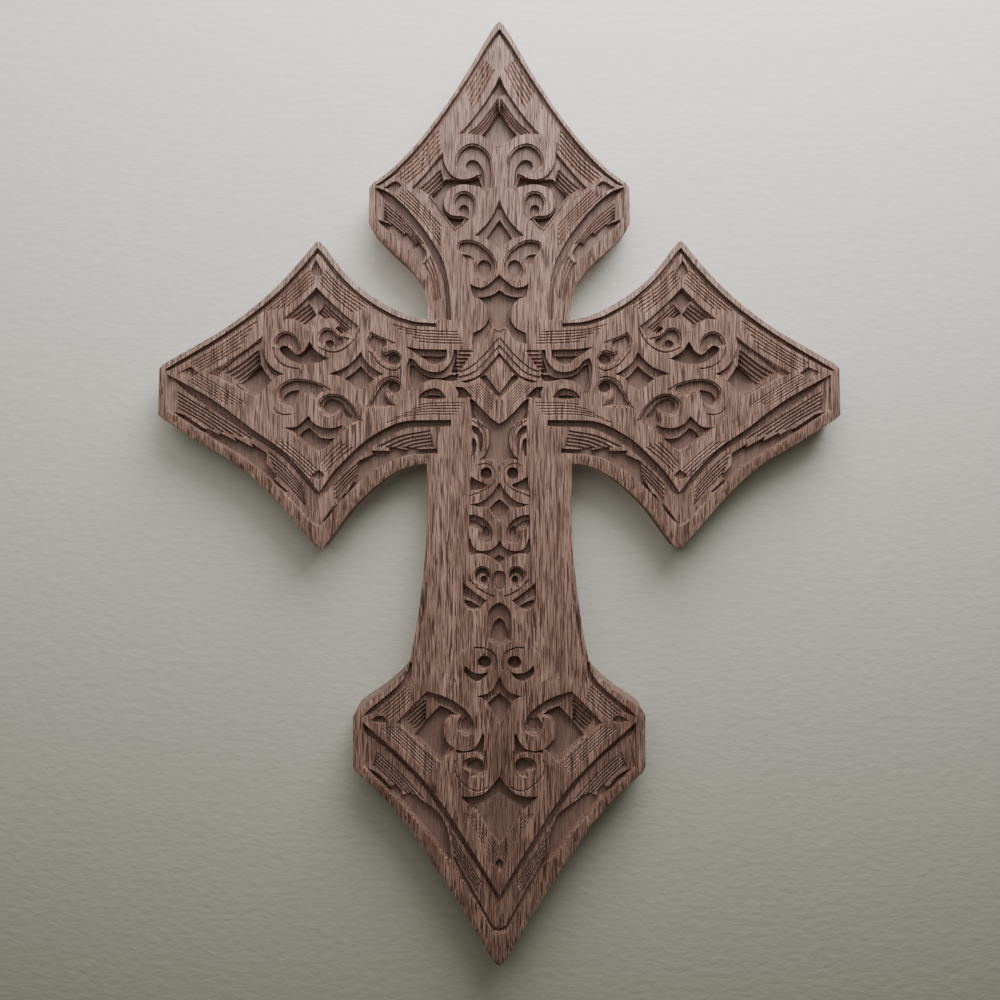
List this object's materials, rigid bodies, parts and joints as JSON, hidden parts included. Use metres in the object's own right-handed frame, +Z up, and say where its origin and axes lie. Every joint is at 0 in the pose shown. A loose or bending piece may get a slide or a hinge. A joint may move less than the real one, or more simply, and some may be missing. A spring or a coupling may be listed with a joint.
{
  "type": "wall cross",
  "caption": "Flat wooden wall cross with flared, pointed limbs, sunk bands and scrolls carved in its front, made to hang against a wall.",
  "frame": {"origin": "on the flat back face, at the middle of the crossing, where the cross meets the wall", "axes": "+Z up along the shaft, -Y out of the carved front, +Y into the wall, +X along the arm on a viewer's right"},
  "size_m": [0.33, 0.019, 0.457],
  "materials": {
    "oak": "open-pored red oak, thinly oiled and matt, with upright grain"
  },
  "bodies": {
    "root": {"cross": "oak"}
  },
  "joints": []
}
